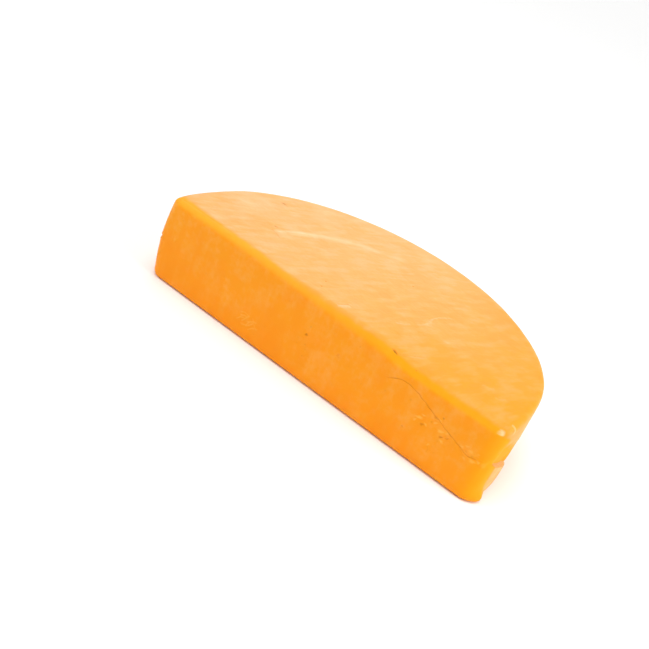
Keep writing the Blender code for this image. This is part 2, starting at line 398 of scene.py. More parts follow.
SPOTS = (
    Spot(CUT, (-3.8, 32.9), 1.05 * MM, 0.8 * MM, dark=0.34, lift=0.10 * MM),
    Spot(CUT, (89.4, 28.5), 0.9 * MM, 0.60 * MM, 1.9, 30, dark=0.20, lift=0.22 * MM),
    Spot(CUT, (103.2, 28.8), 0.95 * MM, 0.65 * MM, 1.4, 40, dark=0.22, lift=0.22 * MM),
    Spot(CUT, (79.0, 19.2), 0.9 * MM, 0.5 * MM, dark=0.14, lift=0.15 * MM),
    Spot(CUT, (22.2, 34.0), 1.5 * MM, 0.22 * MM, dark=0.05, lift=0.26 * MM),
    Spot(CUT, (99.6, 40.6), 0.75 * MM, 0.5 * MM, dark=0.20, lift=0.12 * MM),
    Spot(CUT, (95.4, 38.0), 0.9 * MM, 0.45 * MM, 1.4, -20, dark=0.12, lift=0.15 * MM),
    Spot(CUT, (107.0, 30.4), 0.8 * MM, 0.45 * MM, 1.5, 25, dark=0.12, lift=0.15 * MM),
    *pits(
        CUT,
        (94.0, 34.0, 0.7, 0.4, 0.14), (76.4, 37.9, 0.6, 0.4, 0.14), (-3.0, 39.5, 0.7, 0.4, 0.16),
        (-2.0, 26.0, 0.6, 0.4, 0.16), (-0.6, 23.1, 0.5, 0.35, 0.14), (-0.9, 17.8, 0.6, 0.4, 0.15),
        (32.9, 48.1, 0.6, 0.4, 0.14), (59.4, 32.5, 0.5, 0.35, 0.12), (-24.3, 45.9, 0.6, 0.3, 0.08),
    ),
    *crumbs(
        (86.0, 31.6, 1.2, -0.45, 2.6, 18, 0.70), (84.0, 28.6, 0.9, -0.35, 2.0, 60, 0.50),
        (88.0, 34.6, 0.8, -0.30, 2.6, 10, 0.50), (91.6, 30.0, 0.9, -0.35, 2.0, -30, 0.60),
        (96.6, 35.0, 0.9, -0.35, 2.2, 35, 0.55), (98.6, 38.4, 0.8, -0.30, 2.2, -20, 0.50),
        (101.6, 32.2, 1.2, -0.45, 2.2, 15, 0.70), (104.6, 26.6, 1.1, -0.35, 1.9, -15, 0.65),
        (105.6, 33.4, 0.8, -0.30, 1.8, 50, 0.45), (98.6, 19.6, 0.9, -0.28, 1.9, 60, 0.50),
        (117.0, 32.0, 0.9, -0.30, 2.0, -10, 0.45), (123.0, 32.4, 1.2, -0.35, 1.9, -10, 0.55),
        (126.5, 27.4, 1.4, -0.35, 2.1, 10, 0.55), (130.0, 29.0, 1.1, -0.35, 1.8, -30, 0.50),
        (119.6, 34.2, 0.7, -0.30, 2.4, 20, 0.45), (121.2, 26.0, 0.8, -0.30, 2.2, -35, 0.45),
    ),
    Spot(CUT, (124.8, 30.2), 0.6 * MM, 0.35 * MM, 1.6, 0, dark=0.14),
    Spot(CUT, (120.4, 30.8), 0.6 * MM, 0.35 * MM, 1.8, -25, dark=0.14),
    *crumbs((127.8, 33.6, 0.7, -0.25, 2.0, 10, 0.40)),
    Spot(CUT, (134.0, 28.6), 2.0 * MM, -0.30 * MM, 1.5, 75, pale=0.28, soft=0.2),
    Spot(CUT, (-122.6, 33.8), 1.1 * MM, -0.22 * MM, 1.6, 65, pale=0.25),
    Spot(CUT, (-50.8, 10.8), 1.0 * MM, -0.20 * MM, 1.5, 20, pale=0.2),
    Spot(CUT, (110.4, 2.4), 1.2 * MM, 0.5 * MM, 1.6, 0, dark=0.12),
    Spot(CUT, (113.8, 3.0), 1.2 * MM, -0.3 * MM, 1.6, 10, pale=0.2),
    Spot(CUT, (-136.2, 29.0), 1.5 * MM, 1.7 * MM, 1.9, 20, dark=0.10, lift=0.25 * MM),
    Spot(TOP, (-103.9, 91.8), 1.7 * MM, 0.10 * MM, 1.9, 4, dark=0.80, soft=0.0),
    Spot(TOP, (-81.2, 50.8), 1.5 * MM, 0.1 * MM, 1.3, 4, dark=0.62, soft=0.0),
    *pits(
        TOP,
        (-14.5, 15.2, 0.8, 0.4, 0.16), (-17.2, 24.1, 0.7, 0.4, 0.14), (15.9, 92.0, 0.8, 0.4, 0.14),
        (70.0, 2.4, 0.7, 0.5, 0.2), (71.4, 5.2, 0.5, 0.4, 0.15),
    ),
    Spot(TOP, (67.9, 47.0), 2.2 * MM, -0.1 * MM, 1.3, 30, pale=0.16, soft=0.2),
    Spot(TOP, (-14.5, 119.0), 4.6 * MM, -0.05 * MM, 2.2, 40, pale=0.30, soft=0.0),
    Spot(TOP, (-28.0, 109.0), 3.4 * MM, 0.0, 2.6, 45, pale=0.22, soft=0.0),
    Spot(TOP, (-112.0, 60.0), 6.0 * MM, 0.0, 2.4, 50, pale=0.16, soft=0.0),
    # Painted highlight: the glint on the rounded top-right corner.
    Spot(TOP, (134.2, 1.6), 1.35 * MM, 0.10 * MM, 2.9, 10, pale=0.75, soft=0.0),
    Spot(TOP, (52.9, 3.7), 0.95 * MM, 1.2 * MM, 2.9, -14, dark=0.85, soft=0.3),
)


@dataclass
class PoreScatter:
    """Tiny pores strewn over the cut face, at places in millimetres, darkened inside as painted shade."""

    count: int = 46
    seed: int = 11
    half_length: float = 128.0
    low: float = 6.0
    high: float = 50.0
    smallest: float = 0.28 * MM
    largest: float = 0.55 * MM

    def spots(self) -> tuple[Spot, ...]:
        """The pores, at places that a seeded draw gives.

        Returns:
            The pores.
        """
        draw = np.random.default_rng(self.seed)
        places = np.column_stack(
            [
                draw.uniform(-self.half_length, self.half_length, self.count),
                draw.uniform(self.low, self.high, self.count),
            ]
        )
        sizes = draw.uniform(self.smallest, self.largest, self.count)
        return tuple(
            Spot(CUT, (float(p[0]), float(p[1])), float(r), float(r) * 0.6, dark=0.09)
            for p, r in zip(places, sizes)
        )


@dataclass
class HalfWheel:
    """The half wheel itself: a block cut from a wheel, worn, cracked and pitted."""

    radius: float = 0.140
    centre_behind_cut: float = 0.027
    height: float = 0.060
    corner_round: float = 0.0075
    rim_round: float = 0.0035
    foot_round: float = 0.003
    worn_round: float = 0.0095
    worn_from_x: float = -0.10
    worn_to_x: float = 0.08
    sag_depth: float = 0.0037
    sag_x: Place = (0.030, 0.072)
    sag_reach: float = 0.048
    sag_above: float = 0.046
    wall_bulge: float = 0.0004
    right_press: float = 0.0016
    left_press: float = 0.0024
    end_from_x: float = 0.110
    end_reach: float = 0.085
    foot_lip: float = 0.0022
    lip_middle: float = 0.0095
    lip_reach: float = 0.008
    lip_tall: float = 0.009
    foot_press: float = 0.65
    swell: float = 0.0005
    swell_size: float = 0.055
    swell_seed: int = 1796100439
    ledge_start: float = 0.031
    ledge_fall: float = 0.45
    ledge_reach: float = 0.066
    flake_depth: float = 0.0032
    flake_tall: float = 0.026
    flake_clear: float = 0.0005
    ledge_flat: float = 0.0009
    ends_from_x: float = 0.1
    right_corner: Place = (0.120, 0.133)
    torn_depth: Place = (0.15 * MM, 1.2 * MM)
    wall_from: Place = (0.92, 0.97)
    skin_from: tuple[Place, ...] = (
        (-0.132, 0.0078),
        (-0.084, 0.0052),
        (-0.060, 0.0042),
        (-0.048, 0.0028),
        (-0.036, 0.0012),
        (-0.012, 0.0000),
        (0.024, 0.0006),
        (0.048, 0.0018),
        (0.130, 0.0012),
    )
    skin_blend: Place = (0.0060, 0.0044)
    end_bare: float = 0.0085
    end_bare_below: Place = (0.0140, 0.0060)
    # Paleness painted on the right end's ledge and below it: partly skin bloom, partly painted light.
    low_pale_and_lit: float = 0.16
    wheel_sides: int = 240
    voxel: float = 0.0014
    fine_bands: tuple[Place, ...] = ((2.0 * MM, 2.5 * MM), (0.9 * MM, 1.6 * MM))
    finest_crack: float = 0.75 * MM
    marks: Marks = field(init=False)

    def __post_init__(self) -> None:
        """Work out where the cut is, and gather the marks."""
        self.cut_y = -(self.radius + self.centre_behind_cut) / 2
        self.centre_y = self.cut_y + self.centre_behind_cut
        self.marks = Marks(self.cut_y, self.height, LINES, SPOTS + PoreScatter().spots())

    def build(self) -> bpy.types.Object:
        """Model the half wheel.

        Returns:
            The finished object, at the origin.
        """
        cheese = self._block()
        self._even_mesh(cheese)
        self._refine(cheese)
        self._shape(cheese)
        return cheese

    def _block(self) -> bpy.types.Object:
        """Cut a wheel in two and round its edges.

        Returns:
            The block, with few faces.
        """
        bpy.ops.object.select_all(action="DESELECT")
        bpy.ops.mesh.primitive_cylinder_add(
            vertices=self.wheel_sides,
            radius=self.radius,
            depth=self.height,
            location=(0.0, self.centre_y, self.height / 2),
        )
        cheese = bpy.context.object
        cheese.name = cheese.data.name = "cheddar_cheese"
        bpy.ops.object.transform_apply(location=True, rotation=True, scale=True)
        bpy.ops.object.mode_set(mode="EDIT")
        bpy.ops.mesh.select_all(action="SELECT")
        bpy.ops.mesh.bisect(
            plane_co=(0.0, self.cut_y, 0.0), plane_no=(0.0, -1.0, 0.0), use_fill=True, clear_outer=True
        )
        near = self.cut_y + self.corner_round + 2 * MM
        self._select_edges(
            cheese, lambda a, b: a.z != b.z and self.cut_y + MM < a.y < near and abs(a.x) > self.ends_from_x
        )
        bpy.ops.mesh.dissolve_edges()
        self._select_edges(cheese, lambda a, b: abs(a.z - b.z) > 0.01 and abs(a.y - self.cut_y) < 0.1 * MM)
        bpy.ops.mesh.bevel(offset=self.corner_round, segments=8, affect="EDGES")
        top = self.height - 0.1 * MM
        self._select_edges(cheese, lambda a, b: min(a.z, b.z) > top)
        bpy.ops.mesh.bevel(offset=self.rim_round, segments=5, affect="EDGES")
        self._select_edges(cheese, lambda a, b: max(a.z, b.z) < 0.1 * MM)
        bpy.ops.mesh.bevel(offset=self.foot_round, segments=5, affect="EDGES")
        bpy.ops.object.mode_set(mode="OBJECT")
        return cheese

    @staticmethod
    def _select_edges(cheese: bpy.types.Object, wanted: Callable[[Vector, Vector], bool]) -> None:
        """Select the edges that a test picks, in edit mode.

        Args:
            cheese: The object being edited.
            wanted: Test on the places of an edge's two ends.
        """
        bpy.ops.mesh.select_mode(type="EDGE")
        bpy.ops.mesh.select_all(action="DESELECT")
        bpy.ops.object.mode_set(mode="OBJECT")
        verts = cheese.data.vertices
        for edge in cheese.data.edges:
            a, b = (verts[i].co for i in edge.vertices)
            edge.select = bool(wanted(a, b))
        bpy.ops.object.mode_set(mode="EDIT")

    def _even_mesh(self, cheese: bpy.types.Object) -> None:
        """Cover the block with small even faces, and the underside with one.

        Args:
            cheese: The block.
        """
        remesh = cheese.modifiers.new("even faces", "REMESH")
        remesh.mode = "VOXEL"
        remesh.voxel_size = self.voxel
        bpy.ops.object.modifier_apply(modifier=remesh.name)
        bpy.ops.object.mode_set(mode="EDIT")
        bpy.ops.mesh.select_all(action="SELECT")
        bpy.ops.mesh.vertices_smooth(factor=0.5, repeat=2)
        bpy.ops.object.mode_set(mode="OBJECT")
        heights = self._points(cheese)[:, 2]
        self._select_faces(cheese, self._face_values(cheese, heights, np.maximum) < 0.2 * MM)
        bpy.ops.object.mode_set(mode="EDIT")
        bpy.ops.mesh.dissolve_limited(angle_limit=math.radians(2))
        bpy.ops.object.mode_set(mode="OBJECT")

    def _refine(self, cheese: bpy.types.Object) -> None:
        """Divide the faces near the marks and the ledge more finely.

        Args:
            cheese: The evenly divided half wheel.
        """
        for band, widest in self.fine_bands:
            points = self._points(cheese)
            near = np.minimum(self.marks.reach(points, widest), self._to_ledge(points)) < band
            self._divide(cheese, near)
        points = self._points(cheese)
        crack = self.marks.lines[0]
        u, v, gate = self.marks.local(points, Side.CUT)
        self._divide(cheese, (crack.distance(u, v)[0] < self.finest_crack) & (gate > 0))

    def _divide(self, cheese: bpy.types.Object, near: Array) -> None:
        """Halve the sides of the faces that touch some points.

        Args:
            cheese: The half wheel.
            near: Whether each vertex is near enough to be divided.
        """
        close = near & (self._points(cheese)[:, 2] > 0.3 * MM)
        self._select_faces(cheese, self._face_values(cheese, close.astype(float), np.maximum) > 0.5)
        bpy.ops.object.mode_set(mode="EDIT")
        bpy.ops.mesh.subdivide(number_cuts=1, smoothness=0.0)
        bpy.ops.object.mode_set(mode="OBJECT")

    @staticmethod
    def _points(cheese: bpy.types.Object) -> Array:
        """Look up where the vertices are.

        Args:
            cheese: The half wheel.

        Returns:
            Their places, one row each.
        """
        flat = np.empty(len(cheese.data.vertices) * 3)
        cheese.data.vertices.foreach_get("co", flat)
        return flat.reshape(-1, 3)

    @staticmethod
    def _face_values(cheese: bpy.types.Object, values: Array, gather: np.ufunc) -> Array:
        """Gather a value of the vertices over each face.

        Args:
            cheese: The half wheel.
            values: One value for each vertex.
            gather: How a face's values become one, such as np.maximum.

        Returns:
            One value for each face.
        """
        corners = np.empty(len(cheese.data.loops), dtype=np.int64)
        cheese.data.loops.foreach_get("vertex_index", corners)
        starts = np.empty(len(cheese.data.polygons), dtype=np.int64)
        cheese.data.polygons.foreach_get("loop_start", starts)
        return gather.reduceat(values[corners], starts)

    @staticmethod
    def _select_faces(cheese: bpy.types.Object, wanted: Array) -> None:
        """Select some faces and nothing else.

        Args:
            cheese: The half wheel.
            wanted: Whether each face is selected.
        """
        bpy.ops.object.mode_set(mode="EDIT")
        bpy.ops.mesh.select_mode(type="FACE")
        bpy.ops.mesh.select_all(action="DESELECT")
        bpy.ops.object.mode_set(mode="OBJECT")
        cheese.data.polygons.foreach_set("select", wanted.astype(bool))
        cheese.data.update()

    def _worn_radius(self, x: Array) -> Array:
        """Radius of the rim above the cut at each x."""
        return mix(self.rim_round, self.worn_round, smooth(self.worn_from_x, self.worn_to_x, x))

    def _worn(self, points: Array) -> Array:
        """Move what lies outside the worn rim above the cut onto it.

        Args:
            points: Points before any wear.

        Returns:
            The moved points.
        """
        radius = self._worn_radius(points[:, 0])
        y, z = self.cut_y + radius, self.height - radius
        dy, dz = points[:, 1] - y, points[:, 2] - z
        length = np.maximum(np.hypot(dy, dz), 1e-9)
        outside = (dy < 0) & (dz > 0) & (length > radius)
        moved = points.copy()
        moved[outside, 1] = (y + dy / length * radius)[outside]
        moved[outside, 2] = (z + dz / length * radius)[outside]
        return moved

    def _sag(self, points: Array) -> Array:
        """How far the top has sunk at each point.

        Args:
            points: Points before any wear.

        Returns:
            The distances.
        """
        along = smooth(*self.sag_x, points[:, 0])
        inwards = 1.0 - smooth(0.0, self.sag_reach, points[:, 1] - self.cut_y)
        return self.sag_depth * along * inwards * smooth(self.sag_above, self.height, points[:, 2])

    def _ledge_height(self, points: Array) -> Array:
        """Height of the ledge on the right end beside each point."""
        return self.ledge_start - self.ledge_fall * (points[:, 1] - self.cut_y)

    def _to_ledge(self, points: Array) -> Array:
        """How far each point of the right end is from the ledge.

        Args:
            points: Points before any wear.

        Returns:
            The distances, large off that end.
        """
        behind = points[:, 1] - self.cut_y
        out = np.hypot(points[:, 0], points[:, 1] - self.centre_y)
        on_end = (points[:, 0] > self.ends_from_x) & (behind < self.ledge_reach)
        on_end &= out > 0.95 * self.radius
        return np.where(on_end, np.abs(points[:, 2] - self._ledge_height(points)) * 0.8, 1.0)

    def _above_ledge(self, points: Array) -> Array:
        """How far each point is above the ragged edge of the ledge.

        Args:
            points: Points before any wear.

        Returns:
            The distances, negative below it.
        """
        behind = points[:, 1] - self.cut_y
        ragged = ripple(points, 7 * MM, 8.0) * 0.9 * MM + ripple(points, 2.5 * MM, 9.0) * 0.3 * MM
        return points[:, 2] - self._ledge_height(points) - ragged * smooth(0.0, 10 * MM, behind)

    def _flake(self, points: Array) -> Array:
        """How deep the flake that came off the right end has left each point.

        Args:
            points: Points before any wear.

        Returns:
            The depths.
        """
        behind = points[:, 1] - self.cut_y
        above = self._above_ledge(points)
        depth = self.flake_depth * smooth(0.0, 0.016, behind)
        depth = depth * (1.0 - smooth(0.050, self.ledge_reach, behind))
        wedge = (depth + self.flake_clear) * (1.0 - above / self.flake_tall) - self.flake_clear
        rough = (ripple(points, 4 * MM, 10.0) + 0.5 * ripple(points, 1.8 * MM, 12.0)) * 0.16 * MM
        gone = np.clip(wedge + rough * np.clip(wedge / MM, 0, 1), 0.0, None)
        return gone * smooth(-0.1 * MM, 0.7 * MM, above) * (points[:, 0] > self.ends_from_x)

    def _wall_push(self, points: Array) -> Array:
        """How far the wall stands out at each point.

        Args:
            points: Points before any wear.

        Returns:
            The distances, negative where it is pressed in.
        """
        share = points[:, 2] / self.height
        x, behind = points[:, 0], points[:, 1] - self.cut_y
        off_foot = np.maximum(smooth(0.0, 0.25, share), self.foot_press * smooth(0.008, 0.020, behind))
        at_right = smooth(self.end_from_x, self.radius, x) * off_foot
        at_left = smooth(self.end_from_x, self.radius, -x) * np.abs(2 * share - 1) ** 1.4
        near_cut = 1.0 - smooth(self.end_reach / 2, self.end_reach, behind)
        pressed = (self.right_press * at_right + self.left_press * at_left) * near_cut
        lip = 1.0 - smooth(0.0, self.lip_reach, np.abs(behind - self.lip_middle))
        lip = self.foot_lip * lip * (1.0 - smooth(0.002, self.lip_tall, points[:, 2])) * (x > 0)
        return self.wall_bulge * np.sin(math.pi * share) - pressed + lip - self._flake(points)

    def _shape(self, cheese: bpy.types.Object) -> None:
        """Wear, crack and pit the surface, and store for the finish the stains and bloom, with the painted
        shade and painted highlights of the marks.

        Args:
            cheese: The divided half wheel.
        """
        points = self._points(cheese)
        off_foot = smooth(0.5 * MM, 12 * MM, points[:, 2])[:, None]
        noise.seed_set(self.swell_seed)
        swell = np.array([noise.noise_vector(Vector(p) / self.swell_size) for p in points])
        fine = np.array([noise.noise_vector(Vector(p) / (9 * MM)) for p in points])
        fine += 0.5 * np.array([noise.noise_vector(Vector(p) / (4 * MM)) for p in points])
        moves, dark, pale = self.marks.act(points)
        outwards = np.column_stack([points[:, 0], points[:, 1] - self.centre_y]) / self.radius
        on_wall = smooth(*self.wall_from, np.linalg.norm(outwards, axis=1)) * self._wall_push(points)
        moved = self._worn(points) + (swell * self.swell + fine * 0.09 * MM) * off_foot
        moved += moves * off_foot
        moved[:, :2] += outwards * on_wall[:, None]
        moved[:, 2] -= self._sag(points)
        moved = np.clip(moved, np.array(CAD_BOX[0]), np.array(CAD_BOX[1]))
        cheese.data.vertices.foreach_set("co", moved.ravel())
        cheese.data.shade_smooth()
        rind = self._rind(points)
        # Painted light: the skin on the right end's ledge and below it is painted paler, partly its own
        # bloom and partly standing in for light in the shaded hollow of the ledge.
        pale = np.maximum(pale, self.low_pale_and_lit * rind * self._low_end(points))
        self._store(cheese, "dark", dark)
        self._store(cheese, "pale", pale)
        self._store(cheese, "rind", rind)
        self._store(cheese, "rim", self._rim(points))
        on_cut = self.marks.local(points, Side.CUT)[2] * (points[:, 2] < self.height - 6 * MM)
        self._store(cheese, "on_cut", on_cut)
        cheese.data.update()

    def _rind(self, points: Array) -> Array:
        """How much of the dry, pale skin each point has: none on the cut, all on the top.

        Args:
            points: Points before any wear.

        Returns:
            A share from 0 to 1 for each point.
        """
        behind = points[:, 1] - self.cut_y
        frayed = ripple(points, 6 * MM, 5.0) * 1.2 * MM
        start, full = self._skin_start(points)
        return smooth(start, full, behind + frayed) * (1.0 - self._torn(points))

    def _rim(self, points: Array) -> Array:
        """How much each point belongs to the worn rim above the cut or to the bare face of the right end;
        the finish paints both a lighter yellow, a painted highlight, and makes them rougher.

        Args:
            points: Points before any wear.

        Returns:
            A share from 0 to 1 for each point.
        """
        behind, below = points[:, 1] - self.cut_y, self.height - points[:, 2]
        frayed = ripple(points, 7 * MM, 6.0) * 0.8 * MM
        radius = self._worn_radius(points[:, 0])
        on_top = 1.0 - smooth(radius * 0.45, radius * 0.95, below + frayed)
        on_top *= 1.0 - smooth(*self._skin_start(points), behind)
        end = smooth(*self.right_corner, points[:, 0]) * (1.0 - self._rind(points))
        return np.maximum(on_top, end * smooth(0.0, 0.006, points[:, 2]))

    def _skin_start(self, points: Array) -> tuple[Array, Array]:
        """How far behind the cut the skin starts beside each point, and where it is full.

        Args:
            points: Points before any wear.

        Returns:
            The two distances.
        """
        x, below = points[:, 0], self.height - points[:, 2]
        places, starts = np.array(self.skin_from).T
        full_below, from_below = self.end_bare_below
        on_end = smooth(*self.right_corner, x) * smooth(from_below, full_below, below)
        start = np.interp(x, places, starts) + self.end_bare * on_end
        return start, start + mix(*self.skin_blend, smooth(-0.10, 0.08, x))

    def _low_end(self, points: Array) -> Array:
        """Whether each point is on the right end, on its ledge or below it."""
        return (points[:, 0] > self.ends_from_x) & (self._above_ledge(points) < self.ledge_flat)

    def _torn(self, points: Array) -> Array:
        """How much each point belongs to the bare face that the flake has left.

        Args:
            points: Points before any wear.

        Returns:
            A share from 0 to 1 for each point.
        """
        above = smooth(self.ledge_flat, 1.5 * self.ledge_flat, self._above_ledge(points))
        ragged = (ripple(points, 6 * MM, 13.0) + 0.6 * ripple(points, 2.5 * MM, 14.0)) * 0.55 * MM
        ragged *= points[:, 0] > self.ends_from_x
        return above * smooth(*self.torn_depth, self._flake(points) + ragged)

    @staticmethod
    def _store(cheese: bpy.types.Object, name: str, values: Array) -> None:
        """Keep one number for each vertex, which the finish reads.

        Args:
            cheese: The half wheel.
            name: What the number is called.
            values: The numbers.
        """
        kept = cheese.data.attributes.new(name, "FLOAT", "POINT")
        kept.data.foreach_set("value", values.astype(np.float32))


class Wire:
    """A shader's output that takes part in sums."""

    def __init__(self, graph: "Graph", socket: bpy.types.NodeSocket) -> None:
        """Wrap a socket.

        Args:
            graph: The graph that the socket is in.
            socket: The output.
        """
        self.graph = graph
        self.socket = socket

    def _sum(self, operation: str, a: "Wire | float", b: "Wire | float") -> "Wire":
        """Add one Math node.

        Args:
            operation: What the node does.
            a: Its first value.
            b: Its second value.

        Returns:
            The node's output.
        """
        return self.graph.wire("ShaderNodeMath", {"operation": operation}, {0: a, 1: b})

    def __add__(self, other: "Wire | float") -> "Wire":
        """Add."""
        return self._sum("ADD", self, other)

    __radd__ = __add__

    def __sub__(self, other: "Wire | float") -> "Wire":
        """Subtract."""
        return self._sum("SUBTRACT", self, other)

    def __rsub__(self, other: float) -> "Wire":
        """Subtract from a number."""
        return self._sum("SUBTRACT", other, self)

    def __mul__(self, other: "Wire | float") -> "Wire":
        """Multiply."""
        return self._sum("MULTIPLY", self, other)

    __rmul__ = __mul__

    def clamped(self) -> "Wire":
        """Keep between 0 and 1."""
        return self.graph.wire("ShaderNodeClamp", {}, {0: self})


class Graph:
    """The nodes of one material."""

    def __init__(self, name: str) -> None:
        """Start a material.

        Args:
            name: The material's name.
        """
        self.material = bpy.data.materials.new(name)
        self.material.use_nodes = True
        self.tree = self.material.node_tree
        self.shader = self.tree.nodes["Principled BSDF"]

    def node(self, kind: str, settings: dict, inputs: dict) -> bpy.types.Node:
        """Add a node.

        Args:
            kind: The node's type.
            settings: Its own settings, which are set first.
            inputs: Values or wires for its sockets.

        Returns:
            The node.
        """
        made = self.tree.nodes.new(kind)
        for name, value in settings.items():
            setattr(made, name, value)
        for name, value in inputs.items():
            self.join(value, made.inputs[name])
        return made

    def wire(self, kind: str, settings: dict, inputs: dict, output: int | str = 0) -> Wire:
        """Add a node and take one of its outputs.

        Args:
            kind: The node's type.
            settings: Its own settings.
            inputs: Values or wires for its sockets.
            output: The output that is taken.

        Returns:
            The output.
        """
        return Wire(self, self.node(kind, settings, inputs).outputs[output])

    def join(self, value: "Wire | float | Colour", socket: bpy.types.NodeSocket) -> None:
        """Give a socket a value or a wire.

        Args:
            value: What it gets.
            socket: The socket.
        """
        if isinstance(value, Wire):
            self.tree.links.new(value.socket, socket)
        elif isinstance(value, tuple) and len(socket.default_value) == 4:
            socket.default_value = (*value, 1.0)
        else:
            socket.default_value = value

    def stored(self, name: str) -> Wire:
        """Read one of the numbers kept on the mesh."""
        return self.wire("ShaderNodeAttribute", {"attribute_name": name}, {}, "Fac")

    def blend(self, share: Wire, a: "Wire | Colour", b: "Wire | Colour") -> Wire:
        """Mix two colours.

        Args:
            share: How much of the second one.
            a: The first colour.
            b: The second colour.

        Returns:
            The mixed colour.
        """
        made = self.tree.nodes.new("ShaderNodeMix")
        made.data_type = "RGBA"
        self.join(share, made.inputs[0])
        self.join(a, made.inputs[6])
        self.join(b, made.inputs[7])
        return Wire(self, made.outputs[2])


@dataclass(frozen=True)
class CheddarFinish:
    """Orange hard cheese: a moist, saturated cut and a drier skin with fine streaks, paler than the cut; to
    the left and back its paler colour is partly painted sheen.
    """

    cut: Colour = (0.945, 0.328, 0.003)
    cut_pale: Colour = (0.950, 0.368, 0.037)
    cut_deep: Colour = (0.945, 0.300, 0.001)
    # Painted highlight: the rim above the cut is given a lighter yellow than the cut, standing in for the
    # stronger light its rounded edge catches.
    rim_highlight_left: Colour = (0.955, 0.378, 0.020)
    rim_highlight_right: Colour = (0.955, 0.354, 0.001)
    # Painted sheen: the skin to the left and back is painted paler and bluer, partly its own tone and
    # partly standing in for the gloss of the back light.
    skin_sheen_left: Colour = (0.955, 0.390, 0.120)
    skin_right: Colour = (0.950, 0.348, 0.022)
    skin_pale: Colour = (0.965, 0.465, 0.190)
    skin_deep: Colour = (0.925, 0.335, 0.042)
    # Colour of the dark marks: the dark specks, and painted shade in cracks, grooves and pits.
    stain_and_shade: Colour = (0.42, 0.200, 0.012)
    # Pale colour of marks on the top: the skin's bloom, and painted highlights on raised creases and the
    # rounded top-right corner.
    bloom_and_gloss: Colour = (0.98, 0.68, 0.40)
    # Pale colour of marks on the cut: paler crumbs and ridges, partly their own colour and partly painted
    # highlight.
    flake: Colour = (1.00, 0.49, 0.08)
    streak_turn: float = 63.0

    def build(self) -> bpy.types.Material:
        """Make the material.

        Returns:
            The material.
        """
        graph = Graph("cheddar_cheese")
        self._set_constants(graph)
        place = graph.wire("ShaderNodeTexCoord", {}, {}, "Object")
        skin_share = graph.stored("rind")
        streaks = self._noise(graph, self._drawn(graph, place, 9.0), 330.0, 4.0)
        clouds = self._noise(graph, place, 70.0, 3.0)
        grain = self._noise(graph, place, 900.0, 2.0)
        skin = self._skin_colour(graph, place, streaks, clouds)
        cut = self._cut_colour(graph, place, clouds)
        x = graph.wire("ShaderNodeSeparateXYZ", {}, {0: place}, "X")
        # Painted highlight: the worn rim and the bare face of the right end are painted in the rim's
        # lighter colour.
        rim = graph.blend((0.3 + 12.0 * x).clamped(), self.rim_highlight_left, self.rim_highlight_right)
        cut = graph.blend(0.85 * graph.stored("rim"), cut, rim)
        base = graph.blend(skin_share, cut, skin)
        # Pale marks: bloom and paler crumbs, with painted highlights on raised creases, crumbs and the
        # top-right corner, and painted light on the right end's ledge.
        bloom_and_gloss = graph.blend(graph.stored("on_cut"), self.bloom_and_gloss, self.flake)
        base = graph.blend(graph.stored("pale"), base, bloom_and_gloss)
        # Painted shade in cracks, grooves and pits, with the dark specks, from the dark marks.
        base = graph.blend(graph.stored("dark"), base, self.stain_and_shade)
        graph.join(base, graph.shader.inputs["Base Color"])
        rough = 0.48 + 0.06 * grain + (0.12 * streaks - 0.14) * skin_share
        rough = rough + 0.25 * graph.stored("rim")
        graph.join(rough + 0.1 * graph.stored("dark"), graph.shader.inputs["Roughness"])
        self._bump(graph, place, streaks, skin_share)
        return graph.material

    @staticmethod
    def _set_constants(graph: Graph) -> None:
        """Set what is the same all over: how light enters the cheese, and its gloss.

        Args:
            graph: The material's nodes.
        """
        shader = graph.shader
        shader.subsurface_method = "RANDOM_WALK"
        shader.inputs["Subsurface Weight"].default_value = 0.35
        shader.inputs["Subsurface Radius"].default_value = (1.0, 0.45, 0.12)
        shader.inputs["Subsurface Scale"].default_value = 0.003
        shader.inputs["IOR"].default_value = 1.40
        shader.inputs["Specular IOR Level"].default_value = 0.26
        shader.inputs["Metallic"].default_value = 0.0

    @staticmethod
    def _noise(graph: Graph, place: Wire, scale: float, detail: float) -> Wire:
        """Noise from 0 to 1, centred on a half.

        Args:
            graph: The material's nodes.
            place: Where it is looked up.
            scale: Lumps per metre.
            detail: How many finer layers it has.

        Returns:
            The noise.
        """
        inputs = {"Vector": place, "Scale": scale, "Detail": detail, "Roughness": 0.55}
        return graph.wire("ShaderNodeTexNoise", {}, inputs)

    def _drawn(self, graph: Graph, place: Wire, length: float) -> Wire:
        """Places drawn out along the skin's streaks, so that noise read there is longer that way.

        Args:
            graph: The material's nodes.
            place: The plain places.
            length: How many times longer.

        Returns:
            The drawn places.
        """
        turned = {
            "Vector": place,
            "Rotation": (0.0, 0.0, math.radians(self.streak_turn)),
            "Scale": (length, 1.0, 1.0),
        }
        return graph.wire("ShaderNodeMapping", {"vector_type": "TEXTURE"}, turned)

    def _skin_colour(self, graph: Graph, place: Wire, streaks: Wire, clouds: Wire) -> Wire:
        """Colour of the skin: pale and deep patches over a ground that deepens to the right and is painted
        paler to the left and back, partly its own tone and partly painted sheen.

        Args:
            graph: The material's nodes.
            place: Places on the half wheel.
            streaks: Noise drawn out along the skin.
            clouds: Broader noise.

        Returns:
            The colour.
        """
        x, y = (graph.wire("ShaderNodeSeparateXYZ", {}, {0: place}, axis) for axis in ("X", "Y"))
        broad = self._noise(graph, place, 30.0, 4.0)
        drawn = self._drawn(graph, place, 3.2)
        patches = self._noise(graph, drawn, 150.0, 5.0)
        speck = self._noise(graph, self._drawn(graph, place, 1.8), 560.0, 2.0)
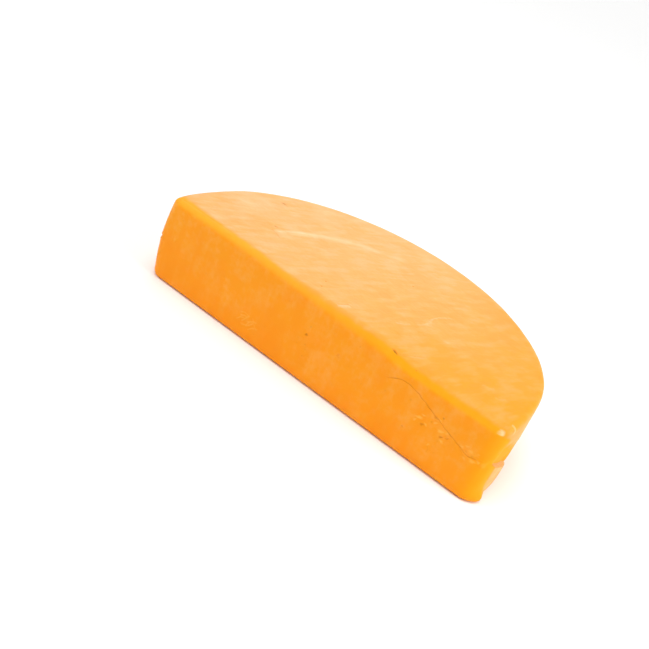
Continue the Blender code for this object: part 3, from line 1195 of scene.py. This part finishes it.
        # Painted sheen: share of the paler left-and-back skin colour, rising towards the left and back.
        sheen_leftness = (0.45 - 3.6 * x + 1.2 * y + 0.5 * (broad - 0.5)).clamped()
        pale = (3.6 * (patches - 0.5) + 2.2 * (clouds - 0.5) + 1.3 * (streaks - 0.5) + 0.22).clamped()
        deep = (4.6 * (0.5 - broad) + 2.4 * (0.5 - patches) + 1.0 * (0.5 - streaks) + 0.05).clamped()
        ground = graph.blend(sheen_leftness, self.skin_right, self.skin_sheen_left)
        ground = graph.blend(pale * (0.30 + 0.45 * sheen_leftness), ground, self.skin_pale)
        ground = graph.blend(deep * 0.65, ground, self.skin_deep)
        return graph.blend((8.0 * (speck - 0.60)).clamped() * 0.42, ground, self.skin_deep)

    def _cut_colour(self, graph: Graph, place: Wire, clouds: Wire) -> Wire:
        """Colour of the cut: faint upright drags of the wire, and deeper towards the foot.

        Args:
            graph: The material's nodes.
            place: Places on the half wheel.
            clouds: Broad noise.

        Returns:
            The colour.
        """
        z = graph.wire("ShaderNodeSeparateXYZ", {}, {0: place}, "Z")
        broad = self._noise(graph, place, 24.0, 2.0)
        upright = graph.wire(
            "ShaderNodeMapping",
            {"vector_type": "TEXTURE"},
            {"Vector": place, "Scale": (1.0, 1.0, 4.5)},
        )
        drags = self._noise(graph, upright, 120.0, 4.0)
        small = self._noise(graph, place, 260.0, 3.0)
        pale = (2.2 * (clouds - 0.5) + 2.0 * (drags - 0.5) + 2.4 * (small - 0.5) + 0.26).clamped()
        low = (1.0 - 45.0 * z).clamped()
        deep = (3.4 * (0.5 - broad) + 1.6 * (0.5 - drags) + 0.8 * low + 0.08).clamped()
        ground = graph.blend(pale, self.cut, self.cut_pale)
        return graph.blend(deep, ground, self.cut_deep)

    def _bump(self, graph: Graph, place: Wire, streaks: Wire, skin_share: Wire) -> None:
        """Fine relief: grain on the cut, and streaks on the skin.

        Args:
            graph: The material's nodes.
            place: Places on the half wheel.
            streaks: Noise drawn out along the skin.
            skin_share: How much skin there is.
        """
        grain = self._noise(graph, place, 420.0, 4.0)
        lumps = self._noise(graph, place, 150.0, 3.0)
        relief = 0.40 * grain + 0.35 * lumps + (0.28 * streaks + 0.75 * lumps) * skin_share
        bump = graph.wire(
            "ShaderNodeBump", {}, {"Strength": 0.55, "Distance": 0.00035, "Height": relief}
        )
        graph.join(bump, graph.shader.inputs["Normal"])


@dataclass(frozen=True)
class FloorFinish:
    """Plain white floor."""

    colour: Colour = (0.94, 0.94, 0.935)

    def build(self) -> bpy.types.Material:
        """Make the material.

        Returns:
            The material.
        """
        graph = Graph("white_floor")
        graph.join(self.colour, graph.shader.inputs["Base Color"])
        graph.join(0.9, graph.shader.inputs["Roughness"])
        graph.join(0.1, graph.shader.inputs["Specular IOR Level"])
        return graph.material


def toward(around: float, above: float) -> Vector:
    """Direction from the half wheel to a light.

    Args:
        around: Degrees round the upright axis, 0 in front of the cut and 90 on its right.
        above: Degrees above the floor.

    Returns:
        The direction, of length 1.
    """
    a, e = math.radians(around), math.radians(above)
    return Vector((math.sin(a) * math.cos(e), -math.cos(a) * math.cos(e), math.sin(e)))


@dataclass(frozen=True)
class Softbox:
    """One broad lamp, aimed at the half wheel."""

    name: str
    around: float
    above: float
    size: tuple[float, float]
    watts: float
    away: float = 2.4

    def build(self) -> None:
        """Place the lamp."""
        back = toward(self.around, self.above)
        bpy.ops.object.light_add(type="AREA", location=back * self.away + Vector((0.0, 0.0, 0.06)))
        made = bpy.context.object
        made.name = self.name
        made.data.shape = "RECTANGLE"
        made.data.size, made.data.size_y = self.size
        made.data.energy = self.watts
        made.rotation_euler = (-back).to_track_quat("-Z", "Y").to_euler()
        made.visible_camera = False


@dataclass(frozen=True)
class Glow:
    """Very soft light from one part of the sky, the same all over the floor."""

    name: str
    around: float
    above: float
    strength: float
    spread: float = 50.0

    def build(self) -> None:
        """Place the light."""
        bpy.ops.object.light_add(type="SUN", location=(0.0, 0.0, 3.0))
        made = bpy.context.object
        made.name = self.name
        made.data.energy = self.strength
        made.data.angle = math.radians(self.spread)
        made.rotation_euler = (-toward(self.around, self.above)).to_track_quat("-Z", "Y").to_euler()


@dataclass
class Studio:
    """White floor, soft lights and the camera."""

    floor_radius: float = 60.0
    floor_z: float = -0.0003
    sky: float = 0.40
    sky_seen: float = 1.05
    lens: float = 47.58
    camera_place: tuple[float, float, float] = (0.19269, -0.52073, 0.29658)
    camera_right: tuple[float, float, float] = (0.76931891, 0.5323548, 0.35319511)
    camera_down: tuple[float, float, float] = (0.53486293, -0.23435659, -0.81178731)
    lights: tuple[Softbox | Glow, ...] = (
        Softbox("back_softbox", 208.0, 16.0, (1.4, 1.0), 10.5),
        Softbox("right_softbox", 95.0, 25.0, (1.2, 1.2), 28.8),
        Glow("left_glow", -35.0, 48.0, 0.66),
        Glow("top_glow", 0.0, 80.0, 1.60),
    )

    def build(self) -> None:
        """Build the studio."""
        self._floor()
        self._sky()
        for light in self.lights:
            light.build()
        self._camera()
        bpy.context.scene.view_settings.view_transform = "Standard"

    def _floor(self) -> None:
        """Lay the floor."""
        bpy.ops.object.select_all(action="DESELECT")
        bpy.ops.mesh.primitive_circle_add(
            vertices=96, radius=self.floor_radius, fill_type="NGON", location=(0.0, 0.0, self.floor_z)
        )
        floor = bpy.context.object
        floor.name = floor.data.name = "floor"
        bpy.ops.object.transform_apply(location=True, rotation=True, scale=True)
        floor.data.materials.append(FloorFinish().build())

    def _sky(self) -> None:
        """Light the scene evenly from all round, and show a white background."""
        world = bpy.data.worlds.new("studio")
        bpy.context.scene.world = world
        world.use_nodes = True
        tree = world.node_tree
        tree.nodes.clear()
        seen = tree.nodes.new("ShaderNodeLightPath")
        lit, shown = (tree.nodes.new("ShaderNodeBackground") for _ in range(2))
        lit.inputs["Strength"].default_value = self.sky
        shown.inputs["Strength"].default_value = self.sky_seen
        for background in (lit, shown):
            background.inputs["Color"].default_value = (1.0, 1.0, 1.0, 1.0)
        choose = tree.nodes.new("ShaderNodeMixShader")
        out = tree.nodes.new("ShaderNodeOutputWorld")
        tree.links.new(seen.outputs["Is Camera Ray"], choose.inputs[0])
        tree.links.new(lit.outputs[0], choose.inputs[1])
        tree.links.new(shown.outputs[0], choose.inputs[2])
        tree.links.new(choose.outputs[0], out.inputs["Surface"])

    def _camera(self) -> None:
        """Set up the camera at the photograph's angle, rolled as it is there."""
        data = bpy.data.cameras.new("camera")
        data.lens = self.lens
        data.sensor_width = 36.0
        data.clip_start = 0.01
        data.clip_end = 200.0
        camera = bpy.data.objects.new("camera", data)
        bpy.context.scene.collection.objects.link(camera)
        right, down = Vector(self.camera_right), Vector(self.camera_down)
        turned = Matrix((right, -down, right.cross(-down))).transposed().to_4x4()
        turned.translation = Vector(self.camera_place)
        camera.matrix_world = turned
        bpy.context.scene.camera = camera


def main() -> None:
    """Build the half wheel and its studio."""
    logging.basicConfig(level=logging.INFO, format="%(message)s")
    cheese = HalfWheel().build()
    cheese.data.materials.append(CheddarFinish().build())
    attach(cheese, "root")
    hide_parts(NODE)
    LOG.info("built %s with %d faces", cheese.name, len(cheese.data.polygons))
    Studio().build()
    LOG.info("built the studio")


if __name__ == "__main__":
    main()
